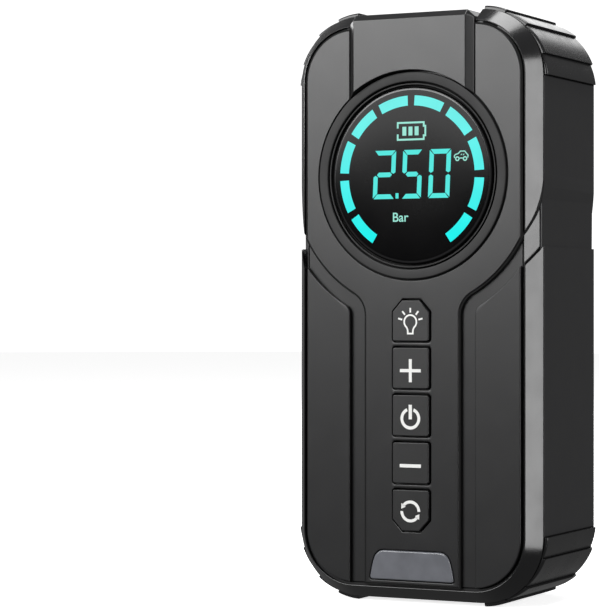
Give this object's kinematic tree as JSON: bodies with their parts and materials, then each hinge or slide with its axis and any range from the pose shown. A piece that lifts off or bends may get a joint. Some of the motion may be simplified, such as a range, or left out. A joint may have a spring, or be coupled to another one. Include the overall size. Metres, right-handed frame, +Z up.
{
  "type": "jump starter pack",
  "caption": "Upright handheld jump starter pack with built-in tyre inflator, round gauge display, push buttons, lamp, rubber corners, ports behind a hinged cover and a geared piston pump.",
  "frame": {"origin": "under the middle of the bounding box, on the plane the lower bumpers stand on", "axes": "+Z up along the pack; the display and buttons face -Y, and +X is on the right of someone who faces them"},
  "size_m": [0.0938, 0.06, 0.202],
  "materials": {
    "case_black": "fine-grained satin",
    "panel_black": "smooth satin",
    "rim_black": "polished",
    "bumper_rubber": "satin",
    "bezel_grey": "polished",
    "display_glass": "clear over black",
    "button_rubber": "matt with printed white symbols",
    "lamp_lens": "frosted translucent",
    "mirror_plate": "vacuum plated",
    "circuit_green": "solder mask",
    "steel": "plain",
    "brass": "turned",
    "copper_gold": "gold plated",
    "cell_pouch": "laminate film",
    "socket_blue": "moulded",
    "gear_nylon": "natural",
    "cast_alloy": "as cast",
    "lead_red": "silicone sleeve",
    "lead_black": "silicone sleeve",
    "seal_rubber": "moulded",
    "inner_plastic": "moulded"
  },
  "bodies": {
    "pack": {"rear_case": "case_black", "front_frame": "rim_black", "front_panel": "panel_black", "left_guard_plate": "panel_black", "right_guard_plate": "panel_black", "top_bridge": "panel_black", "bumper_top_left": "bumper_rubber", "bumper_top_right": "bumper_rubber", "bumper_bottom_left": "bumper_rubber", "bumper_bottom_right": "bumper_rubber", "display_bezel": "bezel_grey", "display_lens": "display_glass", "display_module": "inner_plastic", "control_board": "circuit_green", "lamp_lens": "lamp_lens", "lamp_reflector": "mirror_plate", "lamp_board": "circuit_green", "case_screw_top_left": "steel", "case_screw_top_right": "steel", "case_screw_bottom_left": "steel", "case_screw_bottom_right": "steel", "port_frame": "inner_plastic", "port_cover_pin": "steel", "jump_socket": "socket_blue", "jump_contact_positive": "copper_gold", "jump_contact_negative": "copper_gold", "usb_a_shell": "steel", "usb_c_shell": "steel", "port_board": "circuit_green", "battery_cell_1": "cell_pouch", "battery_cell_2": "cell_pouch", "battery_cell_3": "cell_pouch", "battery_tray": "inner_plastic", "battery_board": "circuit_green", "bus_bar_positive": "copper_gold", "bus_bar_negative": "copper_gold", "battery_lead_red": "lead_red", "battery_lead_black": "lead_black", "main_board": "circuit_green", "heat_sink": "cast_alloy", "motor_can": "steel", "pump_frame": "cast_alloy", "gear_axle": "steel", "pump_cylinder": "cast_alloy", "cylinder_head": "inner_plastic", "outlet_hose": "seal_rubber", "air_outlet": "brass"},
    "mode_button_cap": {"mode_button": "button_rubber"},
    "minus_button_cap": {"minus_button": "button_rubber"},
    "power_button_cap": {"power_button": "button_rubber"},
    "plus_button_cap": {"plus_button": "button_rubber"},
    "light_button_cap": {"light_button": "button_rubber"},
    "cover": {"port_cover": "bumper_rubber"},
    "rotor": {"motor_shaft": "steel", "motor_pinion": "brass"},
    "crank": {"drive_gear": "gear_nylon", "crank_pin": "steel"},
    "piston": {"piston_rod": "gear_nylon", "piston_seal": "seal_rubber"}
  },
  "joints": [
    {"name": "mode_press", "type": "slide", "parent": "pack", "child": "mode_button_cap", "axis": [0, 1, 0], "range_m": [0, 0.0008], "stiffness_N_per_m": 500},
    {"name": "minus_press", "type": "slide", "parent": "pack", "child": "minus_button_cap", "axis": [0, 1, 0], "range_m": [0, 0.0008], "stiffness_N_per_m": 500},
    {"name": "power_press", "type": "slide", "parent": "pack", "child": "power_button_cap", "axis": [0, 1, 0], "range_m": [0, 0.0008], "stiffness_N_per_m": 500},
    {"name": "plus_press", "type": "slide", "parent": "pack", "child": "plus_button_cap", "axis": [0, 1, 0], "range_m": [0, 0.0008], "stiffness_N_per_m": 500},
    {"name": "light_press", "type": "slide", "parent": "pack", "child": "light_button_cap", "axis": [0, 1, 0], "range_m": [0, 0.0008], "stiffness_N_per_m": 500},
    {"name": "cover_hinge", "type": "hinge", "parent": "pack", "child": "cover", "pos_m": [-0.0443, 0.0187, 0.161], "axis": [0, 0, -1], "range_deg": [0, 100]},
    {"name": "rotor_spin", "type": "hinge", "parent": "pack", "child": "rotor", "pos_m": [-0.02, 0.006, 0.1208], "axis": [1, 0, 0], "continuous": true},
    {"name": "crank_spin", "type": "hinge", "parent": "pack", "child": "crank", "pos_m": [-0.0075, 0.006, 0.14], "axis": [1, 0, 0], "continuous": true},
    {"name": "piston_slide", "type": "slide", "parent": "pack", "child": "piston", "axis": [0, 0, 1], "range_m": [-0.01, 0]}
  ],
  "couplings": [
    {"joint": "rotor_spin", "follows": "crank_spin", "ratio": -3}
  ]
}
